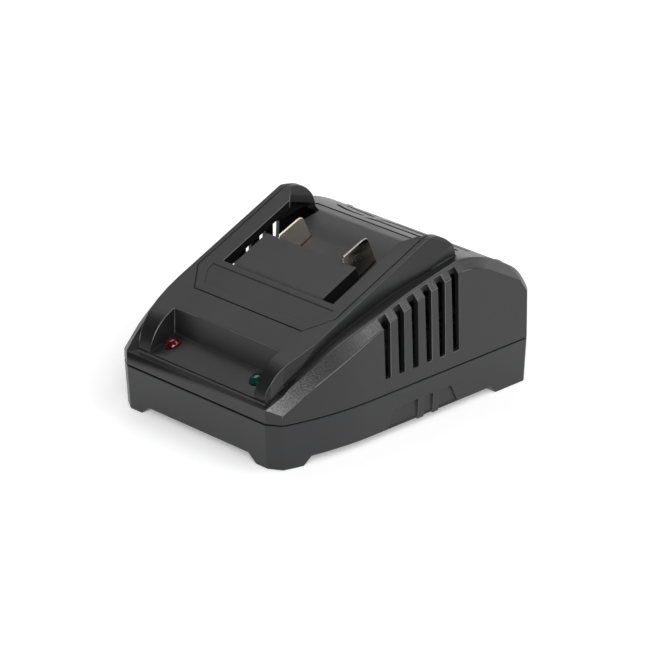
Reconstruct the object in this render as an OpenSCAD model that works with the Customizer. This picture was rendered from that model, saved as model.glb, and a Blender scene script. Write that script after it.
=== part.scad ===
/* [Body] */
// Width across the side walls at the seam
body_w = 90; // [88:0.5:92]
// Length from the front band to the rear wall
body_d = 116.6; // [116:0.1:117.5]
// Height of the seam between the two shells
seam_z = 16.3; // [15.5:0.1:17]
// Wall thickness of both shells
wall = 1.9; // [1.6:0.1:2.1]
// Inward lean of the upper side walls, mm per mm of height
upper_draft = 0.045; // [0.03:0.005:0.06]
// Inward lean of the lower walls towards the feet, mm per mm of height
lower_draft = 0.052; // [0.03:0.002:0.06]
// Radius of the gentle bow of each side wall in plan
bow_r = 108.5; // [104:0.5:114]

/* [Docking tower] */
// Slope of the deck that the pack slides along, in degrees
deck_slope = 23.1; // [22.5:0.1:23.5]
// Half width of the deck's outer edge
deck_half = 35.4; // [35:0.1:35.8]
// Half width of the opening around the terminal block
opening_half = 26.7; // [26:0.1:27.2]
// Half width between the tails of the two rails
tail_half = 31; // [30.6:0.1:31.4]
// Depth of the engraved line around the deck
line_depth = 0.4; // [0.15:0.05:0.5]
// Width of the engraved line around the deck
line_w = 0.46; // [0.25:0.01:0.6]

/* [Terminal block] */
// Half width of the terminal block
block_half = 21.8; // [20:0.1:22]
// Distance between the two contact blades
blade_pitch = 31.4; // [28:0.1:34]
// Thickness of the contact blades
blade_t = 0.8; // [0.6:0.1:1]

/* [Lamps] */
// Diameter of the lamp bodies
led_d = 5; // [4:0.5:5]
// Distance of each lamp from the centre line
led_x = 21; // [18:0.1:21.6]

/* [Side vents] */
// Number of slots in each side wall
vent_count = 6; // [3:1:6]
// Distance from one slot to the next
vent_pitch = 6.43; // [6.2:0.01:6.6]
// Front edge of the first slot
vent_y = 44.5; // [43:0.1:46]
// Slot width at its lower end
vent_w = 2.6; // [2:0.1:3]
// Height of the slots' lower ends
vent_z = 21.8; // [20:0.1:25]

/* [Hidden] */

half = body_w / 2;
bow_y = 38;
gap = 0.12;              // half of the visible joint between the two shells
floor_z = 3;             // underside between the feet
roof = 2.2;              // thickness of the upper shell's top walls
board_z = 11;
board_t = 1.6;
top_z = board_z + board_t;
led_y = 9.95;
lens_r = led_d / 2 + 0.22; // the lamps' flanged lens
function lamp_x(s) = s * led_x - 1;
inlet_z = 27;
boss = [[35.5, 14], [36, 104]];
post = [[33, 30], [33, 94]];
deck_tan = tan(deck_slope);

// outline of both shells at the seam, right half, from the front centre to the rear centre
front_half = 34.15;
chamfer = [39.4, 3.3];
rear_cut = [40.5, 112];

// shoulder, hump and rear wall seen from the side
shoulder = [[3.2, 22.6], [8.5, 27], [16, 31.7], [24.5, 36], [34, 39.8], [45, 43.2], [57, 46.7], [68, 49.4], [78, 51.3],
    [84, 52.1], [91, 50.8], [98, 48.4], [104, 45.3], [109, 42.3], [112, 40.1], [114, 37.4], [115.1, 34.2], [115.9, 30.4], [116.4, 22]];
// x + z of the 45 degree chamfer strip along the side
strip = [[0, 55.5], [3.2, 59.2], [9, 64.5], [16, 70.1], [24, 75], [33, 79.5], [43, 83.2], [55, 86.8], [68, 90], [78, 91.8],
    [84, 92.6], [91, 91.2], [98, 88.7], [104, 85.7], [109, 82.4], [112, 79.8], [114, 77.4], [115.1, 74.4], [115.9, 70.8], [116.6, 62]];
// foot of the tower in plan, right side
tower_foot = [[3.0, 31.9], [5.5, 32.9], [9, 33.9], [14, 34.8], [19, 35.3], [26, 35.5], [48, 35.5], [55, 35.7], [61, 36.2],
    [67, 36.8], [73, 37.15], [86, 37.2]];

function catmull(a, b, c, d, t) = 0.5 * (2 * b + (c - a) * t + (2 * a - 5 * b + 4 * c - d) * t * t + (3 * b - a - 3 * c + d) * t * t * t);
function smooth(p, n) = concat(
    [for (i = [0 : len(p) - 2]) for (j = [0 : n - 1]) catmull(p[max(i - 1, 0)], p[i], p[i + 1], p[min(i + 2, len(p) - 1)], j / n)],
    [p[len(p) - 1]]);
function mirrored(p) = concat(p, [for (i = [len(p) - 1 : -1 : 0]) [-p[i][0], p[i][1]]]);
function deck_z(y) = 35.6 + deck_tan * (y - 14.4);
function arc(c, r, a0, a1, n) = [for (i = [0 : n]) let (a = a0 + (a1 - a0) * i / n) [c[0] + r * cos(a), c[1] + r * sin(a)]];

// side view of the tower from the foot of its front to its rear end, lowered by d
tower_skew = 0.35;         // the tower stands this much left of the centre line
pillar_r = 17.3;
pillar_c = [13 + pillar_r * sin(deck_slope), deck_z(13) - pillar_r * cos(deck_slope)];
tail = [[70.5, deck_z(70.5)], [72.7, 60.42], [74.8, 60.85], [76.8, 60.75], [78.7, 60.25], [80.3, 59.5], [81.7, 58.6], [82.7, 57.6],
    [83.5, 56.4], [84.1, 55.1], [84.7, 53.5], [85.2, 51.8], [85.5, 50.4]];
function tower_side(d = 0) = concat([[2.9 + d, 18], [2.95 + d, 23 - d]],
    [for (i = [0 : 8]) let (a = 75 - (75 - deck_slope) * i / 8) [pillar_c[0] - (pillar_r - d) * sin(a), pillar_c[1] + (pillar_r - d) * cos(a)]],
    [for (p = smooth(tail, 2)) [p[0] - d * 0.6, p[1] - d]]);

// ---- placing helpers ----------------------------------------------------
// the drawing origin is on the front band; the part's origin is the centre of its footprint
module part() translate([0, -body_d / 2, 0]) children();
module both() { children(); mirror([1, 0, 0]) children(); }
// profile given as [y, z], drawn along X, w wide and centred
module along_x(w) translate([-w / 2, 0, 0]) rotate([90, 0, 90]) linear_extrude(w) children();
// profile given as [x, z], drawn along Y from y0 to y1
module along_y(y0, y1) translate([0, y1, 0]) rotate([90, 0, 0]) linear_extrude(y1 - y0) children();
module block(lo, hi) translate(lo) cube(hi - lo);
// everything on the far side of a plane through p with outward normal n
module beyond(p, n) translate(p) rotate([0, acos(n[2] / norm(n)), atan2(n[1], n[0])]) translate([-150, -150, 0]) cube([300, 300, 60]);

// ---- shared outer forms -------------------------------------------------
// room between the two side walls: bowed in towards the front, straight behind, leaning by k from the seam; sign +1 leans in upwards
module between_sides(t, k, sign, z0, z1) {
    function lean(z) = sign * k * (z - seam_z);
    intersection() {
        both_cones(t, k, sign, z0, z1);
        block([-60, -5, z0], [60, bow_y, z1]);
    }
    along_y(bow_y, body_d + 5) polygon([[-(half - t - lean(z0)), z0], [half - t - lean(z0), z0], [half - t - lean(z1), z1], [-(half - t - lean(z1)), z1]]);
}
module both_cones(t, k, sign, z0, z1) {
    intersection() {
        bow_cone(t, k, sign, z0, z1);
        mirror([1, 0, 0]) bow_cone(t, k, sign, z0, z1);
    }
}
module bow_cone(t, k, sign, z0, z1)
    translate([half - bow_r, bow_y, z0]) cylinder(h = z1 - z0, r1 = bow_r - t - sign * k * (z0 - seam_z), r2 = bow_r - t - sign * k * (z1 - seam_z), $fn = 720);

// plan outline with its four cut corners, t inside the outside
module plan(t) {
    c = t * 0.42;
    polygon(mirrored([[0, t], [front_half - c, t], [chamfer[0] - t * 0.5, chamfer[1] + t * 0.55], [half + 6, chamfer[1] + 10 + t * 0.55],
        [half + 6, rear_cut[1] - c - 6], [half - t, rear_cut[1] - c], [rear_cut[0] - c, body_d - t], [0, body_d - t]]));
}

module strip_limit(d) rotate([0, 45, 0]) along_x(300) polygon(concat([[-2, 53.2 / sqrt(2) - d]], [for (p = smooth(strip, 3)) [p[0], p[1] / sqrt(2) - d]], [[121, 30], [121, -80], [-2, -80]]));

module shoulder_form() {
    difference() {
        shoulder_body();
        // the strip starts flatter at its front end
        both() beyond([34.3, 0, 21.4], [0.55, -0.551, 0.627]);
    }
}
module shoulder_body() {
    intersection() {
        translate([0, 0, seam_z - 4]) linear_extrude(60) plan(0);
        between_sides(0, upper_draft, 1, seam_z + gap, 60);
        union() {
            along_x(120) polygon(concat([[0, 10], [0, 21.4], [2.3, 21.6], [2.9, 21.95]], smooth(shoulder, 3), [[body_d, seam_z], [body_d, 10]]));
            // beside the tower the shoulder rises from the front corner
            both() difference() {
                translate([30.5, 0, 0]) rotate([90, 0, 90]) linear_extrude(14) polygon([[0, 15], [0, 21.4], [6.3, 25.28], [6.3, 15]]);
                beyond([34.15, 0, 21.4], [-0.378, -0.482, 0.789]);
            }
        }
        strip_limit(0);
        mirror([1, 0, 0]) strip_limit(0);
        // the strip turns down into the rear corners
        difference() {
            block([-60, -5, 0], [60, 125, 70]);
            both() {
                beyond([44.05, 109.6, 37.8], [2.3, 1.1, 2.1]);
                beyond([44.15, 111.1, 35.6], [2.3, 2, 1.4]);
            }
        }
    }
}
module shoulder_room() {
    intersection() {
        translate([0, 0, seam_z - 4]) linear_extrude(60) plan(wall);
        between_sides(wall, upper_draft, 1, seam_z - 2, 60);
        along_x(120) polygon(concat([[wall, 10], [wall, 21.4 - roof]], [for (p = smooth(shoulder, 2)) [p[0] - wall * max(0, (p[0] - 60) / 55), p[1] - roof]], [[body_d - wall, 18], [body_d - wall, 10]]));
        strip_limit(wall * 1.08);
        mirror([1, 0, 0]) strip_limit(wall * 1.08);
    }
}

// planes that lean the tower's flank outwards: [y on the deck's edge, half width there, slope of the edge in plan, lean]
flank = [[4, 30.8, 0.44, 0.5], [8, 32.2, 0.34, 0.34], [12.5, 33.5, 0.25, 0.26], [17.5, 34.6, 0.17, 0.2], [23, 35.25, 0.06, 0.2], [40, deck_half, 0, 0.22]];
function side_z(y) = y < 13 ? pillar_c[1] + sqrt(pow(pillar_r, 2) - pow(pillar_c[0] - y, 2)) : deck_z(y);
function side_slope(y) = (side_z(y + 0.05) - side_z(y - 0.05)) / 0.1;
module tower_form(t = 0) translate([-tower_skew, 0, 0]) {
    w = tower_skew - t;
    difference() {
        intersection() {
            translate([0, 0, 18]) linear_extrude(60) polygon(mirrored(concat([[0, 2.5]], [for (p = concat([[2.5, 31.6]], tower_foot)) [p[1] + w, p[0]]], [[37.2 + w, 92], [0, 92]])));
            along_x(100) polygon(concat(tower_side(t), [[85.5, 18]]));
        }
        both() for (f = flank) beyond([f[1] + w, f[0], side_z(f[0])], cross([f[2], 1, side_slope(f[0])], [f[3], 0, -1]) * -1);
    }
}

// ---- upper housing ------------------------------------------------------
opening_front = 37.95;
module opening_plan(d = 0) polygon(mirrored([[0, opening_front - d], [opening_half + d, opening_front - d], [opening_half + d, 69.1 + d / 2], [tail_half + d, 73.5 + d / 2], [tail_half + d, 86.2], [0, 86.2]]));

module recess_cut() along_x(51) polygon([[2.9, 22.4], [3.3, 22.52], [14.4, 26.3], [14.4, 50], [-1, 50], [-1, 22.4]]);

module engraving() {
    difference() {
        union() {
            for (s = [1, -1]) {
                e = s > 0 ? 33.2 : 33.2 + 2 * tower_skew;
                block([s * e - line_w / 2, 32.85, 22], [s * e + line_w / 2, 84, 70]);
                translate([0, 0, 22]) linear_extrude(48) polygon([[s * 25.7, 23.82], [s * 25.95, 23.55], [s * (e + 0.18), 32.75], [s * (e + 0.18), 32.95], [s * (e - 0.18), 32.95]]);
            }
            block([-25.9, 23.82, 22], [25.9, 23.82 + line_w, 70]);
        }
        along_x(80) polygon(concat([for (p = tower_side(0)) [p[0], p[1] - line_depth]], [[85.2, 10], [2.9, 10]]));
    }
}

module label_recess() {
    difference() {
        translate([0, 0, 22]) linear_extrude(48) polygon(mirrored([[0, 27.1], [24.6, 27.1], [29.4, 33.2], [29.4, 35.6], [0, 35.6]]));
        along_x(80) polygon(concat([for (p = tower_side(0)) [p[0], p[1] - 0.45]], [[85.2, 10], [2.9, 10]]));
    }
}

// back: distance from the centre line of the upright back that closes the slots above the lower edge of the strip
module side_vent_cut(dy = 0, dw = 0, cap = 0, back = 41.2) {
    difference() {
        for (i = [0 : vent_count - 1]) translate([38, dy, 0]) rotate([90, 0, 90]) linear_extrude(14)
            polygon([[vent_y + i * vent_pitch, vent_z], [vent_y + i * vent_pitch + vent_w - dw, vent_z], [vent_y + i * vent_pitch + vent_w - dw + 0.85, 53], [vent_y + i * vent_pitch + 0.1, 53]]);
        along_x(2 * back) polygon(concat([[30, 60]], [for (p = smooth(strip, 3)) if (p[0] > 33 && p[0] < 90) [p[0], p[1] - half + 1.25 - cap]], [[90, 60]]));
        // the top edge of the strip stays whole
        along_x(120) polygon(concat([[30, 60]], [for (p = smooth(shoulder, 3)) if (p[0] > 34 && p[0] < 90) [p[0], p[1] - 0.12]], [[90, 60]]));
    }
}

// slots across the top behind the rails, one outline each
top_slots = [
    [[-29, 93.2], [-27.2, 92], [-25, 91.2], [-22, 90.4], [-19, 90.1], [-13.4, 90.3], [-13, 91.2], [-18, 91.2], [-21.5, 91.7], [-24.5, 92.5], [-27, 93.3]],
    [[-27.6, 96.4], [-20, 95.1], [-12.4, 94.2], [-12, 95.4], [-20, 96.4], [-27.2, 97.6]],
    [[-25.4, 100.4], [-14, 98.8], [-13.6, 100], [-25, 101.6]],
    [[-12, 89.6], [-9, 89.6], [-6, 90.35], [32.2, 90.35], [32.2, 91.65], [-3, 91.65], [-6, 92], [-9, 91.2]],
    [[-9.5, 93.4], [-5.5, 94.2], [-2, 95.2], [32.6, 95.2], [32.6, 96.5], [-3, 96.5], [-6.5, 95.7]],
    [[-5.5, 98.3], [31.6, 99.1], [31.6, 100.4], [-4, 99.8]]];
module top_vent_cut() for (s = top_slots) translate([0, 0, 36]) linear_extrude(20) polygon(s);

module inlet_plan(r) { translate([-4.3, 0]) circle(r, $fn = 64); translate([4.3, 0]) circle(r, $fn = 64); translate([-4.3, -r]) square([8.6, 2 * r]); }

module bosses(z0, z1, r) for (s = [-1, 1]) for (b = boss) translate([s * b[0], b[1], z0]) cylinder(h = (b[1] > 50 ? z1[1] : z1[0]) - z0, r = r, $fn = 48);

module upper_housing() color([0.075, 0.076, 0.08]) part() {
    difference() {
        union() {
            difference() {
                union() {
                    shoulder_form();
                    tower_form();
                }
                // the hollow inside, clear of the lamp tray
                difference() {
                    union() {
                        shoulder_room();
                        intersection() {
                            tower_form(2.1);
                            block([-40, 16.4, 18], [40, 71.5, 70]);
                        }
                    }
                    along_x(55) polygon([[-2, 19.9], [16.4, 25.2], [16.4, 50], [-2, 50]]);
                    // lip turned down around the opening
                    intersection() {
                        difference() {
                            linear_extrude(80) opening_plan(2);
                            translate([0, 0, -1]) linear_extrude(90) opening_plan(0);
                        }
                        along_x(80) polygon([[30, deck_z(30) - 4.8], [45.2, deck_z(45.2) - 4.8], [45.8, deck_z(45.8) - 3.5], [74, deck_z(74) - 3.5], [86, 54.5], [86, 75], [30, 75]]);
                    }
                }
                translate([0, 0, 25]) linear_extrude(60) opening_plan(0);
                recess_cut();
                // the tails are open below a skirt
                both() translate([26, 0, 0]) rotate([90, 0, 90]) linear_extrude(8.6) polygon([[70.5, 41], [70.5, 56.4], [75, 55], [81.7, 53], [84.5, 52.2], [84.5, 41]]);
                // sloped inner top edge of the rail tails
                both() intersection() {
                    beyond([tail_half, 77.3, 57.4], [-3, 0.35, 1.2]);
                    block([tail_half - 2, 73.2, 52.5], [tail_half + 5, 86, 70]);
                }
                // outer top edge of the tails
                translate([-tower_skew, 0, 0]) {
                    intersection() {
                        beyond([35.05 + tower_skew, 76, 60.8], [0.62, 0.22, 0.74]);
                        block([32, 72, 55], [40, 84, 70]);
                    }
                    mirror([1, 0, 0]) intersection() {
                        beyond([34.3 + tower_skew, 76, 60.8], [0.6, 0.25, 0.76]);
                        block([32, 72, 55], [40, 84, 70]);
                    }
                }
                side_vent_cut();
                mirror([1, 0, 0]) side_vent_cut(-1.67, 0, 1.4, 42.6);
                top_vent_cut();
                engraving();
                label_recess();
                // lamp holes
                for (s = [-1, 1]) translate([lamp_x(s), led_y, led_z]) rotate([tray_tilt, 0, 0]) translate([0, 0, -5]) cylinder(h = 15, r = lens_r + 0.1, $fn = 64);
                // mains inlet opening
                translate([0, body_d + 3, inlet_z]) rotate([90, 0, 0]) linear_extrude(8) inlet_plan(6.05);
                // narrow groove at the foot of the tower
                translate([-tower_skew, 0, 0]) difference() {
                    translate([0, 0, 20]) linear_extrude(40) polygon(mirrored(concat([[28, 9]], [for (p = tower_foot) if (p[0] > 8 && p[0] < 84) [p[1] + tower_skew + 0.5, p[0]]], [[28, 83]])));
                    tower_foot_core();
                    along_x(120) polygon(concat([[2, 0]], [for (p = smooth(shoulder, 3)) if (p[0] < 95) [p[0], p[1] - 0.45]], [[95, 0]]));
                }
            }
            // stiffening ribs behind the bars between the slots
            for (i = [0 : vent_count - 1]) let (y = vent_y + i * vent_pitch, top = 39 + 1.2 * i) {
                block([41.8, y - 1.35, vent_z], [42.9, y - 0.05, top]);
                block([-42.9, y - 3, vent_z], [-41.8, y - 1.62, top]);
            }
            // bosses for the housing screws
            bosses(seam_z + gap, [28.6, 43.8], 3.3);
            // two ribs that carry the terminal holder's rear flange
            for (s = [-1, 1]) block([s * 28.5 - 1, 87.2, 30], [s * 28.5 + 1, 96, 48.75]);
            // flat pad behind the mains inlet
            difference() {
                block([-13.5, 112.5, 19], [13.5, 114.9, 35]);
                translate([0, body_d + 3, inlet_z]) rotate([90, 0, 0]) linear_extrude(8) inlet_plan(6.05);
            }
        }
        bosses(seam_z - 1, [27.3, 37], 1.35);
    }
}
module tower_foot_core() translate([0, 0, 15]) linear_extrude(60) polygon(mirrored(concat([[0, 2.5]], [for (p = concat([[2.5, 31.6]], tower_foot)) [p[1] + tower_skew, p[0]]], [[37.2 + tower_skew, 92], [0, 92]])));

// ---- lower housing ------------------------------------------------------
module lower_form(t = 0, z0 = 0) {
    difference() {
        intersection() {
            translate([0, 0, z0]) linear_extrude(seam_z + 4 - z0) plan(t);
            between_sides(t, lower_draft, -1, z0, seam_z - gap);
            along_x(120) polygon([[t + lower_draft * (seam_z - z0), z0], [t, seam_z], [body_d - t, seam_z], [body_d - t - lower_draft * (seam_z - z0), z0]]);
        }
        if (t == 0) both() {
            beyond([front_half, 0, seam_z], [3.3, -5.25, -lower_draft * 6.2]);
            beyond([half, rear_cut[1], seam_z], [4.6, 4.5, -lower_draft * 6.4]);
        }
    }
}
// side panels: shallow recess with two ribs left standing
module side_panel_cut() translate([half - 1.15, 0, 0]) rotate([90, 0, 90]) linear_extrude(4) {
    polygon([[45.7, 3.4], [59.9, 3.4], [59.9, 9.85], [48.6, 9.85]]);
    polygon([[63, 3.4], [67, 3.4], [67, 9.85], [63, 9.85]]);
    polygon([[69.9, 3.4], [78.7, 3.4], [75.4, 9.85], [69.9, 9.85]]);
}
module lower_housing() color([0.072, 0.074, 0.08]) part() {
    difference() {
        union() {
            difference() {
                lower_form();
                // hollow
                difference() {
                    intersection() {
                        translate([0, 0, floor_z + 2]) linear_extrude(20) plan(2.05);
                        between_sides(2.05, lower_draft, -1, floor_z + 2, seam_z + 3);
                        block([-60, 2.05 + lower_draft * (seam_z - 5), 0], [60, body_d - 2.05 - lower_draft * (seam_z - 5), 30]);
                    }
                }
                // room under the floor between the four feet
                along_y(-5, body_d + 5) polygon([[-28.4, -1], [28.4, -1], [28.4, 0], [24.7, floor_z], [-24.7, floor_z], [-28.4, 0]]);
                difference() {
                    along_x(120) polygon([[11, -1], [97.9, -1], [97.9, 0], [95.2, floor_z], [13.8, floor_z], [11, 0]]);
                    for (s = [-1, 1]) for (y = [[59.9, 63], [67, 69.9]]) block([s * 43.2 - 1.6, y[0], 2.4], [s * 43.2 + 1.6, y[1], 4]);
                }
                both() side_panel_cut();
            }
            // tongue that locates the upper shell
            difference() {
                intersection() {
                    translate([0, 0, 12]) linear_extrude(5.6) plan(2.05);
                    between_sides(2.05, upper_draft, 1, 12, 17.6);
                }
                intersection() {
                    translate([0, 0, 11]) linear_extrude(10) plan(3.3);
                    between_sides(3.3, upper_draft, 1, 11, 20);
                }
            }
            // screw bosses and board posts
            bosses(floor_z + 1, [seam_z + gap, seam_z + gap], 3.6);
            for (s = [-1, 1]) for (p = post) translate([s * p[0], p[1], floor_z + 1]) cylinder(h = board_z - floor_z - 1, r = 2.8, $fn = 40);
        }
        // counterbored screw holes, open below
        for (s = [-1, 1]) for (b = boss) {
            translate([s * b[0], b[1], -1]) cylinder(h = 11.5, r = 3, $fn = 48);
            translate([s * b[0], b[1], 9]) cylinder(h = 10, r = 1.7, $fn = 48);
        }
        for (s = [-1, 1]) for (p = post) translate([s * p[0], p[1], floor_z + 3]) cylinder(h = 10, r = 1.1, $fn = 32);
        // air slots in the floor
        for (s = [-1, 1]) for (i = [0 : 6]) block([s * 21 - 7.5, 38 + i * 6, 1], [s * 21 + 7.5, 40.2 + i * 6, 8]);
        // bare recess for a rating plate
        block([-22, 13, 2], [22, 29, floor_z + 0.4]);
    }
}

// ---- terminal holder ----------------------------------------------------
ramp = [[53.6, 42.7], [57, 43.9], [60.2, 45.3], [64, 47.1], [68.2, 49.1], [72, 50.3], [76, 51.1], [80, 51.7], [82.5, 51.95], [85.9, 51.72]];
ramp_half = 25.6;
block_y0 = 38.02;
block_y1 = 53.7;
function block_z(y) = 45.7 + (y - block_y0) * tan(23.6);
module terminal_holder() color([0.07, 0.071, 0.075]) part() {
    difference() {
        union() {
            // hood with rounded rear corners
            intersection() {
                translate([0, 0, 20]) linear_extrude(40) polygon(concat([[-block_half, block_y0], [block_half, block_y0]],
                    arc([block_half - 1.5, block_y1 + 0.5], 1.5, 0, 90, 6), arc([-block_half + 1.5, block_y1 + 0.5], 1.5, 90, 180, 6)));
                along_x(60) polygon([[block_y0, 20], [block_y0, block_z(block_y0)], [block_y1 - 0.2, block_z(block_y1 - 0.2)], [block_y1, block_z(block_y1) - 0.3], [block_y1 + 2, 47.8], [block_y1 + 2, 20]]);
            }
            // floor and ramp behind the hood
            intersection() {
                along_x(66) polygon(concat(smooth(ramp, 2), [[85.9, 49.4], [80, 49.4], [68, 46.8], [60.2, 43], [53.6, 40.4], [52.6, 40.4], [52.6, 42.4]]));
                translate([0, 0, 20]) linear_extrude(40) polygon(mirrored([[0, 52.4], [ramp_half, 52.4], [ramp_half, 81.6], [30.7, 84.2], [30.7, 85.9], [0, 85.9]]));
            }
            // side legs that stand on the board
            for (s = [-1, 1]) {
                block([s * 18.6 - 2.4, 41, top_z], [s * 18.6 + 2.4, 51, 30]);
            }
            // tongue under the hump
            along_x(52) polygon([[82, 47.2], [82, 50], [85.3, 50], [85.3, 48.6], [88, 48.6], [88, 47.2]]);
        }
        // hollow hood, open below
        along_x(2 * (block_half - 1.7)) polygon([[block_y0 + 1.7, 19], [block_y0 + 1.7, block_z(block_y0 + 1.7) - 1.9], [block_y1 - 1.9, block_z(block_y1 - 1.9) - 1.9], [block_y1 - 1.9, 19]]);
        // slots for the blades
        for (s = [-1, 1]) block([s * blade_pitch / 2 - blade_t / 2 - 0.08, 53.1, 18], [s * blade_pitch / 2 + blade_t / 2 + 0.08, 68.35, 60]);
    }
}

blade_outline = [[53.2, 54.05], [53.6, 54.65], [62.3, 58.05], [63.4, 58.3], [64.4, 57.95], [64.95, 57], [68.2, 49.2], [66.6, 46.4], [61, 43.4], [60, 42.4], [60, 24], [58.6, 20], [58.6, 8.6],
    [56.4, 8.6], [56.4, 20], [54.8, 24], [54.8, 40], [53.2, 41.5]];
// the left blade's head stands a little lower
function lowered(p, d) = p[1] > 50 ? [p[0], p[1] - d] : p;
module blade(s) part() translate([s * blade_pitch / 2, 0, 0]) along_x(blade_t) polygon([for (p = blade_outline) s < 0 ? lowered(p, 1.3) : p]);
module positive_blade() color([0.62, 0.58, 0.52]) blade(1);
module negative_blade() color([0.62, 0.58, 0.52]) blade(-1);

// ---- lamps --------------------------------------------------------------
// lens on the sloping floor of the tray, its axis square to the floor
tray_tilt = atan((26.3 - 22.52) / 11.1);
led_z = 22.52 + (led_y - 3.3) * tan(tray_tilt);
module led(s) part() translate([lamp_x(s), led_y, led_z]) rotate([tray_tilt, 0, 0]) {
    translate([0, 0, -6.4]) cylinder(h = 1.2, r = lens_r + 0.3, $fn = 64);
    translate([0, 0, -5.3]) cylinder(h = 5.6, r = lens_r, $fn = 64);
    // shallow domed top
    intersection() {
        translate([0, 0, -1.75]) sphere(r = 3.6, $fn = 96);
        translate([-5, -5, 0.28]) cube(10);
        translate([0, 0, 0.2]) cylinder(h = 4, r = lens_r, $fn = 64);
    }
}
module red_led() color([0.55, 0.03, 0.04]) led(-1);
module green_led() color([0.02, 0.4, 0.2]) led(1);
module led_leads() color([0.75, 0.75, 0.74]) part() for (s = [-1, 1]) for (d = [-1.27, 1.27]) translate([lamp_x(s) + d, led_y + 2, 0])
    block([-0.25, -0.25, 9], [0.25, 0.25, 18.32]);

// ---- fasteners ----------------------------------------------------------
module pan_screw(len, r, head_r, head_h) {
    difference() {
        translate([0, 0, -head_h]) cylinder(h = head_h, r = head_r, $fn = 40);
        for (a = [0, 90]) rotate([0, 0, a]) translate([-head_r * 0.6, -0.35, -head_h - 0.1]) cube([head_r * 1.2, 0.7, 1.1]);
    }
    cylinder(h = len, r = r, $fn = 32);
    translate([0, 0, len]) cylinder(h = 1.2, r1 = r, r2 = 0.3, $fn = 32);
}
module housing_screws() color([0.5, 0.5, 0.5]) part() for (s = [-1, 1]) for (b = boss) translate([s * b[0], b[1], 10.5]) pan_screw(b[1] > 50 ? 17 : 14, 1.34, 2.7, 2);
module board_screws() color([0.6, 0.6, 0.58]) part() for (s = [-1, 1]) for (p = post) translate([s * p[0], p[1], top_z]) mirror([0, 0, 1]) pan_screw(5, 1.08, 2.2, 1.4);

// ---- board --------------------------------------------------------------
module main_board() color([0.03, 0.06, 0.045]) part() difference() {
    translate([0, 0, board_z]) linear_extrude(board_t) polygon(mirrored([[0, 5.6], [27, 5.6], [30.5, 9], [30.5, 19.5], [37.5, 19.5], [37.5, 98.6], [30.5, 98.6], [30.5, 110], [0, 110]]));
    for (s = [-1, 1]) for (p = post) translate([s * p[0], p[1], board_z - 1]) cylinder(h = 4, r = 1.5, $fn = 32);
    for (s = [-1, 1]) block([s * blade_pitch / 2 - blade_t / 2 - 0.1, 56.2, 10], [s * blade_pitch / 2 + blade_t / 2 + 0.1, 58.8, 14]);
    for (s = [-1, 1]) for (d = [-1.27, 1.27]) translate([lamp_x(s) + d, led_y + 2, 10]) cylinder(h = 4, r = 0.5, $fn = 24);
}

// ---- mains inlet --------------------------------------------------------
module mains_inlet_shell() color([0.05, 0.05, 0.052]) part() translate([0, body_d, inlet_z]) rotate([90, 0, 0]) difference() {
    union() {
        translate([0, 0, 0.75]) linear_extrude(15) inlet_plan(5.9);
        translate([0, 0, 4.12]) linear_extrude(1.6) inlet_plan(7);
        translate([0, 0, 15.7]) linear_extrude(1.5) square([16, 9], center = true);
    }
    difference() {
        translate([0, 0, -1]) linear_extrude(13) { translate([-4.3, 0]) circle(4.2, $fn = 64); translate([4.3, 0]) circle(4.2, $fn = 64); square([8.6, 5.6], center = true); }
    }
    for (s = [-1, 1]) translate([s * 4.3, 0, 10]) cylinder(h = 10, r = 1.2, $fn = 32);
}
module mains_inlet_pins() color([0.78, 0.76, 0.7]) part() for (s = [-1, 1]) translate([s * 4.3, body_d, inlet_z]) rotate([90, 0, 0]) {
    translate([0, 0, 3]) cylinder(h = 17.5, r = 1.18, $fn = 40);
    translate([0, 0, 3]) sphere(r = 1.18, $fn = 40);
}
// stiff wires from the inlet's tails down to the board
module input_wires() color([0.35, 0.2, 0.12]) part() for (s = [-1, 1]) translate([s * 4.3, body_d - 19.4, 0]) {
    translate([0, 0, top_z]) cylinder(h = inlet_z - 1.1 - top_z, r = 0.8, $fn = 24);
}

// ---- components on the board --------------------------------------------
module fuse() color([0.7, 0.68, 0.6]) part() translate([-17, 101, top_z + 3.2]) rotate([0, 90, 0]) {
    translate([0, 0, 0]) cylinder(h = 5, r = 2.6, $fn = 40);
    translate([0, 0, 4.9]) cylinder(h = 10.2, r = 2.35, $fn = 40);
    translate([0, 0, 15]) cylinder(h = 5, r = 2.6, $fn = 40);
    for (z = [1.4, 17]) translate([-0, -2.2, z]) cube([3.2, 4.4, 1.6]);
}
module x_capacitor() color([0.1, 0.1, 0.11]) part() block([-27, 88, top_z], [-10, 96, top_z + 13]);
module choke_core() color([0.25, 0.25, 0.26]) part() translate([20, 94, top_z + 8.6]) rotate([90, 0, 0]) translate([0, 0, -4])
    difference() { cylinder(h = 8, r = 8.6, $fn = 64); translate([0, 0, -1]) cylinder(h = 10, r = 4.6, $fn = 64); }
module choke_winding() color([0.22, 0.1, 0.05]) part() translate([20, 94, top_z + 8.6]) {
    for (a = [-50 : 25 : 50]) for (m = [0, 180]) rotate([0, a + m, 0]) translate([6.6, 0, 0]) difference() {
        cube([5.9, 9.9, 1.3], center = true);
        cube([4.05, 8.05, 3], center = true);
    }
}
module bridge_rectifier() color([0.06, 0.06, 0.06]) part() {
    block([-35, 75, top_z + 1.5], [-31.4, 87, top_z + 13]);
    for (i = [0 : 3]) block([-33.6, 76.6 + i * 2.7, top_z], [-32.8, 77.4 + i * 2.7, top_z + 1.6]);
}
module bulk_capacitor() color([0.1, 0.1, 0.28]) part() translate([-22, 78.5, top_z]) {
    cylinder(h = 1, r = 7.3, $fn = 64);
    translate([0, 0, 0.9]) cylinder(h = 1.2, r = 7.9, $fn = 64);
    translate([0, 0, 2]) cylinder(h = 16, r = 8, $fn = 64);
}
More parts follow.
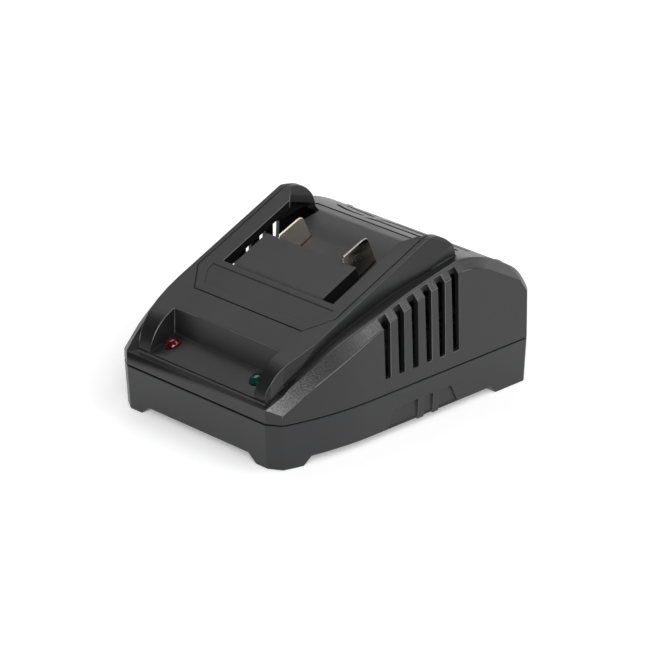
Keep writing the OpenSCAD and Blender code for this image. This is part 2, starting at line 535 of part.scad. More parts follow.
module switching_transistor() color([0.05, 0.05, 0.05]) part() {
    block([-33.2, 56, top_z + 4], [-29, 66, top_z + 13]);
    for (i = [-1 : 1]) block([-31.5, 61 + i * 2.54 - 0.4, top_z], [-30.9, 61 + i * 2.54 + 0.4, top_z + 4.1]);
}
module primary_heat_sink() color([0.7, 0.7, 0.72]) part() {
    block([-36, 50, top_z], [-33.2, 72, top_z + 17]);
    for (i = [0 : 3]) block([-33.3, 50 + i * 1.5, top_z], [-30.2, 50.6 + i * 1.5, top_z + 17]);
}
module transformer_core() color([0.18, 0.18, 0.19]) part() translate([-9, 69, top_z + 3]) difference() {
    block([-3, -14.5, 0], [21, 14.5, 21]);
    block([-4, -9.5, 4.5], [5.2, 9.5, 16.5]);
    block([12.8, -9.5, 4.5], [22, 9.5, 16.5]);
    block([4, -9.5, 4.5], [14, -4.6, 16.5]);
    block([4, 4.6, 4.5], [14, 9.5, 16.5]);
}
module transformer_bobbin() color([0.08, 0.08, 0.08]) part() translate([-9, 69, top_z + 3]) {
    for (z = [4.6, 15.5]) difference() {
        block([-2.9, -9.4, z], [20.9, 9.4, z + 0.9]);
        block([5.1, -4.7, z - 1], [12.9, 4.7, z + 2]);
    }
    // pin rails on both open sides of the core
    for (x = [[-6.4, -3.1], [21.1, 24.4]]) {
        block([x[0], -8, -2], [x[1], 0, 5.5]);
        for (i = [0 : 2]) block([(x[0] + x[1]) / 2 - 0.4, -6.9 + i * 2.5, -3], [(x[0] + x[1]) / 2 + 0.4, -6.1 + i * 2.5, -1.9]);
    }
    block([-6.4, -8, 4.6], [24.4, -4.9, 5.5]);
}
module transformer_winding() color([0.1, 0.09, 0.08]) part() translate([-9, 69, top_z + 3]) difference() {
    block([-2.6, -9.2, 5.55], [20.6, 9.2, 15.45]);
    block([5.1, -4.7, 4.4], [12.9, 4.7, 16.6]);
}
module output_rectifier() color([0.05, 0.05, 0.05]) part() {
    block([27.4, 42, top_z + 4], [31.6, 52, top_z + 13]);
    for (i = [-1 : 1]) block([29, 47 + i * 2.54 - 0.4, top_z], [29.6, 47 + i * 2.54 + 0.4, top_z + 4.1]);
}
module secondary_heat_sink() color([0.7, 0.7, 0.72]) part() {
    block([31.6, 38, top_z], [34.4, 58, top_z + 15]);
    for (i = [0 : 3]) block([28.6, 53.4 + i * 1.5, top_z], [31.7, 54 + i * 1.5, top_z + 15]);
}
module output_capacitors() color([0.1, 0.12, 0.3]) part() for (p = [[4, 32], [16, 32]]) translate([p[0], p[1], top_z]) {
    cylinder(h = 1, r = 4.4, $fn = 48);
    translate([0, 0, 0.9]) cylinder(h = 15, r = 5, $fn = 48);
}
module dip(x, y, w, l, h, n) translate([x, y, top_z]) {
    block([-w / 2, -l / 2, 0.6], [w / 2, l / 2, h]);
    for (s = [-1, 1]) for (i = [0 : n - 1]) translate([s * (w / 2 + 0.1), -(n - 1) * 1.27 + i * 2.54, 0]) block([-0.2, -0.35, 0], [0.2, 0.35, h / 2]);
}
module optocoupler() color([0.9, 0.9, 0.88]) part() dip(-6, 50, 6.4, 4.6, 3.6, 2);
module control_chip() color([0.05, 0.05, 0.05]) part() dip(-12, 30, 6.4, 9.6, 3.8, 4);

upper_housing();
lower_housing();
terminal_holder();
positive_blade();
negative_blade();
red_led();
green_led();
led_leads();
housing_screws();
main_board();
board_screws();
mains_inlet_shell();
mains_inlet_pins();
input_wires();
fuse();
x_capacitor();
choke_core();
choke_winding();
bridge_rectifier();
bulk_capacitor();
switching_transistor();
primary_heat_sink();
transformer_core();
transformer_bobbin();
transformer_winding();
output_rectifier();
secondary_heat_sink();
output_capacitors();
optocoupler();
control_chip();
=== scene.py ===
import bpy, bmesh, math
from mathutils import Vector, Matrix, geometry


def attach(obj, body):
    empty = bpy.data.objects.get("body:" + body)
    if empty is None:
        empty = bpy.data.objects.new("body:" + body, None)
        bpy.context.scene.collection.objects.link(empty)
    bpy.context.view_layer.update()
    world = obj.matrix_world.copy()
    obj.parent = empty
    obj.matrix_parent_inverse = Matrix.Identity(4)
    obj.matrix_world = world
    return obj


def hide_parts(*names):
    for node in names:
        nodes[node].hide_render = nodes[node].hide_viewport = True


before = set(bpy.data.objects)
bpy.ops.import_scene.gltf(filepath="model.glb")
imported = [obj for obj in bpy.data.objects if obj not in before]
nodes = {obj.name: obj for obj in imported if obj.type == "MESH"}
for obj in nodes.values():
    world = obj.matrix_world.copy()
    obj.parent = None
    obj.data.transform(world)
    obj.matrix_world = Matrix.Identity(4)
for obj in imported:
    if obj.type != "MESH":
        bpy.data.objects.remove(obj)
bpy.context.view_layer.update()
scene = bpy.context.scene
MM = 0.001
FRONT = -0.0583          # the front band's place on the row's Y axis
TOP = 0.06


# ---------------------------------------------------------------- meshes
def flat_regions(bm, angle):
    """Number the faces so that faces joined across nearly flat edges share a number."""
    number = {}
    count = 0
    for start in bm.faces:
        if start.index in number:
            continue
        number[start.index] = count
        stack = [start]
        n0 = start.normal.copy()
        while stack:
            f = stack.pop()
            for e in f.edges:
                if len(e.link_faces) != 2:
                    continue
                g = e.link_faces[0] if e.link_faces[1] is f else e.link_faces[1]
                if g.index in number:
                    continue
                if g.normal.angle(n0, 0) < angle or g.calc_area() < 1e-11:
                    number[g.index] = count
                    stack.append(g)
        count += 1
    return number, count


def rebuild(bm, angle=math.radians(0.3)):
    """Every flat region triangulated afresh from its own outline, with no points along its straight sides."""
    bm.verts.index_update()
    bm.faces.index_update()
    bm.normal_update()
    number, count = flat_regions(bm, angle)
    region_faces = [[] for _ in range(count)]
    for f in bm.faces:
        region_faces[number[f.index]].append(f)
    outline = {}
    at = {}
    for e in bm.edges:
        lf = e.link_faces
        ids = [number[f.index] for f in lf]
        if len(lf) != 2 or ids[0] != ids[1]:
            key = (e.verts[0].index, e.verts[1].index)
            outline[key] = ids
            for v in key:
                at.setdefault(v, []).append(key)
    pos = {v.index: v.co.copy() for v in bm.verts}
    # drop points in the middle of straight sides
    changed = True
    while changed:
        changed = False
        for v in list(at):
            keys = at[v]
            if len(keys) != 2:
                continue
            k1, k2 = keys
            if sorted(outline[k1]) != sorted(outline[k2]):
                continue
            a = k1[0] if k1[1] == v else k1[1]
            b = k2[0] if k2[1] == v else k2[1]
            if a == b or any(set(k) == {a, b} for k in at[a]):
                continue
            d1, d2 = pos[v] - pos[a], pos[b] - pos[v]
            if d1.length < 1e-9 or d2.length < 1e-9 or d1.angle(d2) < math.radians(0.25):
                ids = outline[k1]
                for k in (k1, k2):
                    del outline[k]
                at[a].remove(k1)
                at[b].remove(k2)
                del at[v]
                new = (a, b)
                outline[new] = ids
                at[a].append(new)
                at[b].append(new)
                changed = True
    sides = [[] for _ in range(count)]
    for key, ids in outline.items():
        for i in set(ids):
            sides[i].append(key)
    out = bmesh.new()
    made = {}

    def vert(i):
        if i not in made:
            made[i] = out.verts.new(pos[i])
        return made[i]

    tag = out.faces.layers.int.new("region")
    for i in range(count):
        faces = region_faces[i]
        if not sides[i]:
            continue
        big = max(faces, key=lambda f: f.calc_area())
        n = Vector((0, 0, 0))
        for f in faces:
            n += f.normal * f.calc_area()
        n = n.normalized() if n.length > 1e-12 else big.normal
        u = n.orthogonal().normalized()
        w = n.cross(u)
        ids = sorted({v for k in sides[i] for v in k})
        back = {v: k for k, v in enumerate(ids)}
        origin = pos[ids[0]]
        pts = [Vector(((pos[v] - origin).dot(u) * 1000, (pos[v] - origin).dot(w) * 1000)) for v in ids]
        segs = [(back[a], back[b]) for a, b in sides[i]]
        if len(ids) == 3:
            tris = [(0, 1, 2)]
        else:
            rv, re, rf, ov, oe, of_ = geometry.delaunay_2d_cdt(pts, segs, [], 1, 1e-7)
            tris = []
            for f in rf:
                c = (rv[f[0]] + rv[f[1]] + rv[f[2]]) / 3
                inside = False
                for a, b in segs:
                    pa, pb = pts[a], pts[b]
                    if (pa.y > c.y) != (pb.y > c.y) and c.x < (pb.x - pa.x) * (c.y - pa.y) / (pb.y - pa.y) + pa.x:
                        inside = not inside
                if inside:
                    tri = []
                    for k in f:
                        if ov[k]:
                            tri.append(ov[k][0])
                        else:
                            tri = None
                            break
                    if tri and len(set(tri)) == 3:
                        tris.append(tuple(tri))
        for tri in tris:
            vs = [vert(ids[k]) for k in tri]
            a, b, c = (v.co for v in vs)
            if (b - a).cross(c - a).dot(n) < 0:
                vs.reverse()
            try:
                f = out.faces.new(vs)
                f[tag] = i
            except ValueError:
                pass
    out.normal_update()
    return out


def edge_limits(bm, width, sharp_angle, keep):
    """How wide each sharp edge may be rounded: less where another outline of its faces is near, or turns tightly."""
    tag = bm.faces.layers.int["region"]
    region_edges = {}
    normals = {}
    for f in bm.faces:
        normals.setdefault(f[tag], f.normal.copy())
    sharp = {}
    for e in bm.edges:
        lf = e.link_faces
        if len(lf) != 2:
            continue
        r = [f[tag] for f in lf]
        if r[0] == r[1]:
            continue
        for i in r:
            region_edges.setdefault(i, []).append(e)
        a = e.calc_face_angle(0)
        if a > sharp_angle:
            sharp[e] = a
    limit = {e: width for e in sharp}
    for i, edges in region_edges.items():
        n = normals[i]
        at = {}
        info = []
        for e in edges:
            a, b = e.verts[0].co, e.verts[1].co
            d = b - a
            if d.length < 1e-9:
                continue
            face = next(f for f in e.link_faces if f[tag] == i)
            inward = n.cross(d).normalized()
            if (face.calc_center_median() - a).dot(inward) < 0:
                inward = -inward
            info.append((e, a, b, d, inward))
            for v in e.verts:
                at.setdefault(v.index, []).append((e, d, inward))
        # tight inward turns
        for v, near in at.items():
            if len(near) != 2:
                continue
            (e1, d1, in1), (e2, d2, in2) = near
            turn = in1.angle(in2, 0)
            if 1e-3 < turn < math.radians(50):
                o1 = next(x for x in e1.verts if x.index != v).co
                vco = next(x for x in e1.verts if x.index == v).co
                if (o1 - vco).dot(in2) > 0:
                    radius = min(d1.length, d2.length) / turn
                    for e in (e1, e2):
                        if e in limit:
                            limit[e] = min(limit[e], 0.75 * radius)
        # outlines that face each other
        for e, a, b, d, inward in info:
            if e not in limit:
                continue
            reach = limit[e] * 2.6
            lo = Vector((min(a.x, b.x) - reach, min(a.y, b.y) - reach, min(a.z, b.z) - reach))
            hi = Vector((max(a.x, b.x) + reach, max(a.y, b.y) + reach, max(a.z, b.z) + reach))
            steps = max(2, min(12, int(d.length / 0.002)))
            points = [a + d * ((k + 0.5) / steps) for k in range(steps)] + [a + d * 0.02, a + d * 0.98]
            for o, c, g, cd, _ in info:
                if o is e:
                    continue
                if max(c.x, g.x) < lo.x or min(c.x, g.x) > hi.x or max(c.y, g.y) < lo.y or min(c.y, g.y) > hi.y or max(c.z, g.z) < lo.z or min(c.z, g.z) > hi.z:
                    continue
                l2 = cd.length_squared
                touching = len({*e.verts} & {*o.verts}) > 0
                for p in points:
                    t = max(0.0, min(1.0, (p - c).dot(cd) / l2))
                    v = c + cd * t - p
                    dist = v.length
                    if touching:
                        continue
                    if dist < reach and v.dot(inward) > 0.45 * dist:
                        limit[e] = min(limit[e], 0.4 * dist)
    if keep:
        for e in list(limit):
            limit[e] *= keep(e)
    return limit, sharp


def refined(name, width, segments=3, sharp_angle=14, keep=None, tries=4, smooth_angle=13, paint_edge_highlights=False):
    """A copy of a CAD node's mesh with its sharp edges rounded by up to width metres where there is room."""
    src = bmesh.new()
    src.from_mesh(nodes[name].data)
    bmesh.ops.remove_doubles(src, verts=src.verts[:], dist=3e-6)
    bmesh.ops.dissolve_degenerate(src, dist=2e-6, edges=src.edges[:])
    src.normal_update()
    base = rebuild(src)
    src.free()
    base.verts.index_update()
    base.edges.index_update()
    wl = base.edges.layers.float.get("bevel_weight_edge") or base.edges.layers.float.new("bevel_weight_edge")
    limit, sharp = edge_limits(base, width, math.radians(sharp_angle), keep)
    # a chain of edges is rounded evenly
    for _ in range(4):
        for v in base.verts:
            mine = [e for e in v.link_edges if e in limit]
            if len(mine) == 2:
                low = min(limit[mine[0]], limit[mine[1]])
                for e in mine:
                    limit[e] = min(limit[e], low * 1.25)
    for attempt in range(tries):
        for e in base.edges:
            w = limit.get(e, 0) / width
            e[wl] = w if w > 0.08 else 0.0
        mesh = bpy.data.meshes.new(name + "_shell")
        base.to_mesh(mesh)
        ob = bpy.data.objects.new(name + "_shell", mesh)
        scene.collection.objects.link(ob)
        mod = ob.modifiers.new("edges", "BEVEL")
        mod.width = width
        mod.segments = segments
        mod.limit_method = "WEIGHT"
        mod.use_clamp_overlap = False
        mod.loop_slide = False
        mod.miter_outer = "MITER_SHARP"
        ob.data.materials.append(None)
        ob.data.materials.append(None)
        mod.material = 1
        apply_modifiers(ob)
        # faces that were turned over by the rounding
        tag = base.faces.layers.int["region"]
        normals = {}
        for f in base.faces:
            normals.setdefault(f[tag], f.normal.copy())
        att = ob.data.attributes.get("region")
        spots = []
        for p in ob.data.polygons:
            n = normals.get(att.data[p.index].value)
            if n is not None and p.area > 1e-11 and p.normal.dot(n) < -0.2 and p.area > 4e-10:
                spots.append((p.center.copy(), math.sqrt(p.area) + width))
        if not spots or attempt == tries - 1:
            break
        hit = 0
        for e in limit:
            mid = (e.verts[0].co + e.verts[1].co) / 2
            half = (e.verts[0].co - e.verts[1].co).length / 2
            for c, r in spots:
                t = (c - e.verts[0].co).dot(e.verts[1].co - e.verts[0].co) / max(1e-12, (2 * half) ** 2)
                t = max(0.0, min(1.0, t))
                if (e.verts[0].co.lerp(e.verts[1].co, t) - c).length < min(r, 0.003):
                    limit[e] *= 0.45
                    hit += 1
                    break
        bpy.data.objects.remove(ob)
    base.free()
    crisp_normals(ob, smooth_angle, paint_edge_highlights)
    return ob


def apply_modifiers(ob):
    bpy.context.view_layer.update()
    deps = bpy.context.evaluated_depsgraph_get()
    new = bpy.data.meshes.new_from_object(ob.evaluated_get(deps))
    old = ob.data
    ob.modifiers.clear()
    ob.data = new
    if old.users == 0:
        bpy.data.meshes.remove(old)


def crisp_normals(ob, angle, paint_edge_highlights):
    """Flat faces stay flat up to their rounded edges, curved walls stay smooth; the rounding (material 1) blends between them.
    Only the crest of each convex rounding keeps material 1."""
    bm = bmesh.new()
    bm.from_mesh(ob.data)
    bm.faces.index_update()
    bm.normal_update()
    limit = math.cos(math.radians(angle))
    at_corner = {}
    slim = set()        # slivers take the normal of the widest wall beside them
    for f in bm.faces:
        if 2 * f.calc_area() < 0.00003 * max(e.calc_length() for e in f.edges):
            slim.add(f.index)
    for v in bm.verts:
        walls = [f for f in v.link_faces if f.material_index == 0 and f.index not in slim]
        groups = []
        left = set(walls)
        while left:
            stack = [left.pop()]
            group = []
            while stack:
                f = stack.pop()
                group.append(f)
                for g in list(left):
                    if f.normal.dot(g.normal) > limit:
                        left.discard(g)
                        stack.append(g)
            total = Vector()
            for f in group:
                total += f.normal * f.calc_area()
            if total.length > 0:
                groups.append((total.normalized(), set(f.index for f in group), total.length))
        rounds = Vector()
        for f in v.link_faces:
            if f.material_index == 1:
                rounds += f.normal * f.calc_area()
        for loop in v.link_loops:
            f = loop.face
            n = f.normal
            if f.index in slim and groups:
                n = max(groups, key=lambda g: g[2])[0]
            elif f.material_index == 0:
                for g, members, size in groups:
                    if f.index in members:
                        n = g
                        break
            elif groups:
                best = max(groups, key=lambda g: g[0].dot(f.normal))
                if best[0].dot(f.normal) > 0.3:
                    n = best[0]
            elif rounds.length > 0 and rounds.normalized().dot(f.normal) > 0.3:
                n = rounds.normalized()
            at_corner[loop.index] = n.copy()
    # crests of convex roundings; material 1 on them carries the painted edge highlight
    crest = set()
    for f in bm.faces:
        if f.material_index != 1 or any(g.material_index == 0 for v in f.verts for g in v.link_faces):
            continue
        c = f.calc_center_median()
        bend = 0.0
        for e in f.edges:
            for g in e.link_faces:
                if g is not f:
                    bend += (g.calc_center_median() - c).normalized().dot(f.normal)
        if bend < -0.1:
            crest.add(f.index)
    # loops are numbered as in the mesh
    bm.free()
    normals = [at_corner.get(i, Vector((0, 0, 1))) for i in range(len(ob.data.loops))]
    ob.data.materials.clear()
    for p in ob.data.polygons:
        p.use_smooth = True
        p.material_index = 1 if paint_edge_highlights and p.index in crest else 0
    ob.data.normals_split_custom_set(normals)


# ---------------------------------------------------------------- materials
def node_material(name):
    mat = bpy.data.materials.new(name)
    mat.use_nodes = True
    tree = mat.node_tree
    bsdf = tree.nodes["Principled BSDF"]
    return mat, tree, bsdf


def link(tree, a, b):
    tree.links.new(a, b)


def object_coords(tree):
    return tree.nodes.new("ShaderNodeTexCoord").outputs["Object"]


def noise(tree, vector, scale, detail=2.0, rough=0.5):
    n = tree.nodes.new("ShaderNodeTexNoise")
    n.inputs["Scale"].default_value = scale
    n.inputs["Detail"].default_value = detail
    n.inputs["Roughness"].default_value = rough
    link(tree, vector, n.inputs["Vector"])
    return n.outputs["Fac"]


def ramp(tree, fac, stops):
    r = tree.nodes.new("ShaderNodeValToRGB")
    els = r.color_ramp.elements
    while len(els) < len(stops):
        els.new(0.5)
    for el, (pos, col) in zip(els, stops):
        el.position = pos
        el.color = (*col, 1) if len(col) == 3 else col
    link(tree, fac, r.inputs["Fac"])
    return r.outputs["Color"]


def map_range(tree, value, lo, hi, to_lo, to_hi):
    m = tree.nodes.new("ShaderNodeMapRange")
    m.inputs["From Min"].default_value = lo
    m.inputs["From Max"].default_value = hi
    m.inputs["To Min"].default_value = to_lo
    m.inputs["To Max"].default_value = to_hi
    link(tree, value, m.inputs["Value"])
    return m.outputs["Result"]


def bump(tree, height, strength, distance, normal=None):
    b = tree.nodes.new("ShaderNodeBump")
    b.inputs["Strength"].default_value = strength
    b.inputs["Distance"].default_value = distance
    link(tree, height, b.inputs["Height"])
    if normal is not None:
        link(tree, normal, b.inputs["Normal"])
    return b.outputs["Normal"]


def mix_colour(tree, fac, a, b):
    m = tree.nodes.new("ShaderNodeMix")
    m.data_type = "RGBA"
    link(tree, fac, m.inputs["Factor"])
    for value, socket in ((a, m.inputs["A"]), (b, m.inputs["B"])):
        if isinstance(value, tuple):
            socket.default_value = (*value, 1)
        else:
            link(tree, value, socket)
    return m.outputs["Result"]


def moulded_plastic(name, base, rough, grain, grain_scale=5200, coarse=0.0, specks=0.6, round_edges=0.00022, along=None, spec=0.5):
    """Dark moulded plastic: fine spark-eroded grain, slow colour and gloss variation, a few dust specks; with along
    given, a painted highlight with painted glints along its length takes the place of the slow colour variation.
    """
    mat, tree, bsdf = node_material(name)
    vec = object_coords(tree)
    slow = noise(tree, vec, 60, 3)
    fine = noise(tree, vec, grain_scale, 2, 0.6)
    colour = ramp(tree, slow, [(0.3, tuple(c * 0.9 for c in base)), (0.7, tuple(c * 1.12 for c in base))])
    if along:
        # painted highlight: paler where light falls along the length, with painted glints where it is palest
        place = tree.nodes.new("ShaderNodeSeparateXYZ")
        link(tree, vec, place.inputs[0])
        where = map_range(tree, place.outputs["Y"], along[0], along[1], 0, 1)
        painted_glint = map_range(tree, noise(tree, vec, 1900, 3, 0.7), 0.38, 0.66, 0.0, 1.0)
        colour = mix_colour(tree, painted_glint, ramp(tree, where, [(t, (c * 0.55, c * 0.55, c * 0.56)) for t, c in along[2]]),
                            ramp(tree, where, [(t, (c * 1.5, c * 1.5, c * 1.53)) for t, c in along[2]]))
    # dust and tiny scuffs
    vor = tree.nodes.new("ShaderNodeTexVoronoi")
    vor.inputs["Scale"].default_value = 190
    link(tree, vec, vor.inputs["Vector"])
    pick = tree.nodes.new("ShaderNodeSeparateColor")
    link(tree, vor.outputs["Color"], pick.inputs["Color"])
    chosen = map_range(tree, pick.outputs["Red"], 0.962, 0.968, 0, 1)
    near = map_range(tree, vor.outputs["Distance"], 0.03, 0.055, 1, 0)
    dust = tree.nodes.new("ShaderNodeMath")
    dust.operation = "MULTIPLY"
    link(tree, chosen, dust.inputs[0])
    link(tree, near, dust.inputs[1])
    dust_amount = tree.nodes.new("ShaderNodeMath")
    dust_amount.operation = "MULTIPLY"
    dust_amount.inputs[1].default_value = specks
    link(tree, dust.outputs[0], dust_amount.inputs[0])
    colour = mix_colour(tree, dust_amount.outputs[0], colour, (0.34, 0.33, 0.31))
    link(tree, colour, bsdf.inputs["Base Color"])
    r = tree.nodes.new("ShaderNodeMath")
    r.operation = "ADD"
    link(tree, map_range(tree, slow, 0.3, 0.7, rough - 0.025, rough + 0.03), r.inputs[0])
    link(tree, map_range(tree, dust.outputs[0], 0, 1, 0, 0.3), r.inputs[1])
    link(tree, r.outputs[0], bsdf.inputs["Roughness"])
    bsdf.inputs["IOR"].default_value = 1.5
    bsdf.inputs["Specular IOR Level"].default_value = spec
    bev = tree.nodes.new("ShaderNodeBevel")
    bev.samples = 6
    bev.inputs["Radius"].default_value = round_edges
    normal = bev.outputs["Normal"]
    if coarse:
        rough_noise = noise(tree, vec, 1500, 3, 0.65)
        normal = bump(tree, rough_noise, coarse, 0.00016, normal)
    normal = bump(tree, fine, grain, 0.00006, normal)
    link(tree, normal, bsdf.inputs["Normal"])
    return mat


def simple(name, base, rough, metallic=0.0, scale=900, vary=0.12, grain=0.15, stretch=None, coat=0.0):
    """A plain material with colour variation, roughness variation and a light bump."""
    mat, tree, bsdf = node_material(name)
    vec = object_coords(tree)
    if stretch:
        m = tree.nodes.new("ShaderNodeMapping")
        m.inputs["Scale"].default_value = stretch
        link(tree, vec, m.inputs["Vector"])
        vec = m.outputs["Vector"]
    n = noise(tree, vec, scale, 3, 0.6)
    link(tree, ramp(tree, n, [(0.3, tuple(c * (1 - vary) for c in base)), (0.7, tuple(min(1, c * (1 + vary)) for c in base))]), bsdf.inputs["Base Color"])
    link(tree, map_range(tree, n, 0.3, 0.7, max(0.03, rough - 0.05), rough + 0.06), bsdf.inputs["Roughness"])
    bsdf.inputs["Metallic"].default_value = metallic
    bsdf.inputs["Coat Weight"].default_value = coat
    link(tree, bump(tree, n, grain, 0.00004), bsdf.inputs["Normal"])
    return mat


SHELL = moulded_plastic("shell_plastic_upper", (0.0098, 0.0099, 0.0102), 0.36, 0.5)
SHELL_LOW = moulded_plastic("shell_plastic_lower", (0.0078, 0.0081, 0.0094), 0.36, 0.5)
# the strip's colour is a painted highlight: palest at the front end, nearly black in the middle, with painted glints
LIT_STRIP = moulded_plastic("shell_plastic_strip_painted_highlight", (0.016, 0.016, 0.0165), 0.36, 0.5, coarse=0.9, along=(-0.0583, 0.0617, (
    (0.0, 0.17), (0.04, 0.09), (0.075, 0.04), (0.125, 0.006), (0.2, 0.002), (0.27, 0.03), (0.325, 0.078), (0.42, 0.05), (0.8, 0.022))))
# painted edge highlight: a pale plastic for the crests of convex roundings, standing in for light caught by the edges
EDGE_HIGHLIGHT = moulded_plastic("shell_plastic_painted_edge_highlight", (0.10, 0.10, 0.101), 0.28, 0.2, specks=0.2)
# painted shade: near-black plastic for walls deep in the opening and the holder's sides, where shade falls
RECESS_SHADE = moulded_plastic("holder_plastic_painted_recess_shade", (0.003, 0.003, 0.0032), 0.62, 0.6, spec=0.15)
# painted shade: a darker copy of the shell plastic for the shoulder beside the tower, standing in for the dark
# reflection of the tower's flank
SHADE = moulded_plastic("shell_plastic_shoulder_painted_shade", (0.005, 0.005, 0.0053), 0.42, 0.5, spec=0.24)
# painted light: a paler copy of the shell plastic that lifts the shade on the small riser in front of the lamp tray
LIT_LEDGE = moulded_plastic("shell_plastic_ledge_painted_light", (0.032, 0.032, 0.033), 0.4, 0.4)
HOLDER = moulded_plastic("holder_plastic_fine", (0.0120, 0.0120, 0.0121), 0.36, 0.4)
INLET = moulded_plastic("inlet_plastic_fine", (0.012, 0.012, 0.0125), 0.3, 0.2)
CONTACT = simple("contact_metal_brushed", (0.97, 0.88, 0.78), 0.23, 1.0, scale=700, vary=0.03, grain=0.008, stretch=(1, 0.15, 1))
# painted shade: a darker copy of the contact metal for the right blade, standing in for the dark reflection it shows
CONTACT_SHADED = simple("contact_metal_painted_shade", (0.44, 0.42, 0.375), 0.2, 1.0, scale=700, vary=0.04, grain=0.01, stretch=(1, 0.15, 1))
PIN = simple("pin_metal_plated", (0.72, 0.69, 0.62), 0.22, 1.0)
TINNED = simple("tinned_wire", (0.70, 0.70, 0.69), 0.3, 1.0)
SCREW = simple("screw_steel_zinc", (0.45, 0.45, 0.46), 0.34, 1.0, scale=2500)
SINK = simple("sink_aluminium_black", (0.03, 0.03, 0.032), 0.45, 0.5, stretch=(1, 1, 0.1))
COPPER = simple("enamelled_copper_wire", (0.03, 0.015, 0.009), 0.35, 0.5, scale=2600, vary=0.2)
FERRITE = simple("ferrite_sintered", (0.035, 0.035, 0.038), 0.6, 0.0, scale=3000, grain=0.5)
EPOXY = simple("black_epoxy_matt", (0.012, 0.012, 0.013), 0.55, grain=0.4, scale=4000)
WHITE_EPOXY = simple("white_epoxy_matt", (0.72, 0.72, 0.70), 0.5)
CASE = simple("film_case_grey", (0.022, 0.022, 0.024), 0.45, vary=0.08)
SLEEVE = simple("sleeve_blue", (0.02, 0.03, 0.11), 0.22, vary=0.1, coat=0.3)
TAPE = simple("tape_black", (0.024, 0.022, 0.02), 0.4, vary=0.1)
CERAMIC = simple("fuse_body", (0.16, 0.155, 0.14), 0.4)
BOBBIN = simple("bobbin_black", (0.014, 0.014, 0.015), 0.45, grain=0.3)


def board_material():
    mat, tree, bsdf = node_material("board_laminate_tracks")
    vec = object_coords(tree)
    brick = tree.nodes.new("ShaderNodeTexBrick")
    brick.inputs["Scale"].default_value = 220
    brick.inputs["Mortar Size"].default_value = 0.035
    brick.inputs["Color1"].default_value = (0.010, 0.018, 0.014, 1)
    brick.inputs["Color2"].default_value = (0.008, 0.015, 0.012, 1)
    brick.inputs["Mortar"].default_value = (0.02, 0.04, 0.028, 1)
    link(tree, vec, brick.inputs["Vector"])
    n = noise(tree, vec, 400, 3)
    link(tree, mix_colour(tree, map_range(tree, n, 0.3, 0.7, 0, 0.3), brick.outputs["Color"], (0.014, 0.026, 0.019)), bsdf.inputs["Base Color"])
    link(tree, map_range(tree, n, 0.3, 0.7, 0.3, 0.42), bsdf.inputs["Roughness"])
    link(tree, bump(tree, brick.outputs["Fac"], 0.3, 0.00003), bsdf.inputs["Normal"])
    return mat


def lens_material(name, deep, pale):
    """Tinted lamp lens: saturated body, paler where the lamp's cup shows through, clear gloss on top."""
    mat, tree, bsdf = node_material(name)
    vec = object_coords(tree)
    n = noise(tree, vec, 420, 2)
    link(tree, mix_colour(tree, map_range(tree, n, 0.35, 0.65, 0.0, 1.0), deep, pale), bsdf.inputs["Base Color"])
    link(tree, map_range(tree, n, 0.3, 0.7, 0.08, 0.13), bsdf.inputs["Roughness"])
    bsdf.inputs["IOR"].default_value = 1.52
    bsdf.inputs["Transmission Weight"].default_value = 0.35
    bsdf.inputs["Coat Weight"].default_value = 0.6
    bsdf.inputs["Coat Roughness"].default_value = 0.05
    return mat


BOARD = board_material()
RED = lens_material("red_lens_tinted", (0.055, 0.0015, 0.004), (0.11, 0.004, 0.010))
GREEN = lens_material("green_lens_tinted", (0.0, 0.030, 0.019), (0.0, 0.065, 0.042))

# ---------------------------------------------------------------- housings
def use(ob, node, slot, *mats):
    for m in mats:
        ob.data.materials.append(m)
    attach(ob, "root")
    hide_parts(node)
    return ob


upper = refined("upper_housing", 0.00045, paint_edge_highlights=True)
use(upper, "upper_housing", "shell_plastic", SHELL, EDGE_HIGHLIGHT, LIT_STRIP, RECESS_SHADE, SHADE, LIT_LEDGE)
STRIP_LINE = ((0, 55.5), (3.2, 59.2), (9, 64.5), (16, 70.1), (24, 75), (33, 79.5), (43, 83.2), (55, 86.8), (68, 90), (78, 91.8),
              (84, 92.6), (91, 91.2), (98, 88.7), (104, 85.7), (109, 82.4), (112, 79.8), (114, 77.4))


def strip_sum(y):
    for (a, va), (b, vb) in zip(STRIP_LINE, STRIP_LINE[1:]):
        if a <= y <= b:
            return va + (vb - va) * (y - a) / (b - a)
    return -100


for p in upper.data.polygons:
    n, c = p.normal, p.center
    if p.material_index == 1:
        # the painted edge highlight (material 1) is taken off the seam, the front band and the inside
        if c.z < (0.0218 if c.y < FRONT + 0.003 else 0.0205) or (c.y < FRONT + 0.0045 and c.z < 0.0235) or n.z < -0.2 or (c.y > 0.035 and c.z > 0.03):
            p.material_index = 0
        continue
    y = c.y * 1000 + 58.3
    lift = (abs(c.x) + c.z) * 1000 - strip_sum(y)
    # the 45 degree strip's faces take the strip material with its painted highlight
    if n.z > 0.4 and abs(n.x) > 0.4 and abs(abs(n.x) - n.z) < 0.12 and (abs(lift) < 0.75 or (y < 9 and -2.6 < lift < 0.6)) and abs(c.x) > 0.0335:
        p.material_index = 2
    # painted shade on the inner side walls of the opening
    elif abs(n.x) > 0.8 and abs(c.x) < 0.0275 and 0.030 < c.z < 0.056 and -0.022 < c.y < 0.012:
        p.material_index = 3
    # painted shade on the shoulder faces beside the tower
    elif n.z > 0.5 and abs(n.x) < 0.3 and abs(c.x) > 0.0338 and 3.3 < y < 34 and -37.6 < c.z * 1000 - strip_sum(y) < -35.1:
        p.material_index = 4
    # painted light on the riser at the front of the lamp tray
    elif 2.6 < y < 3.6 and 0.0218 < c.z < 0.02265 and n.y < -0.7 and abs(n.z - 0.42) < 0.2 and abs(n.x) < 0.2:
        p.material_index = 5

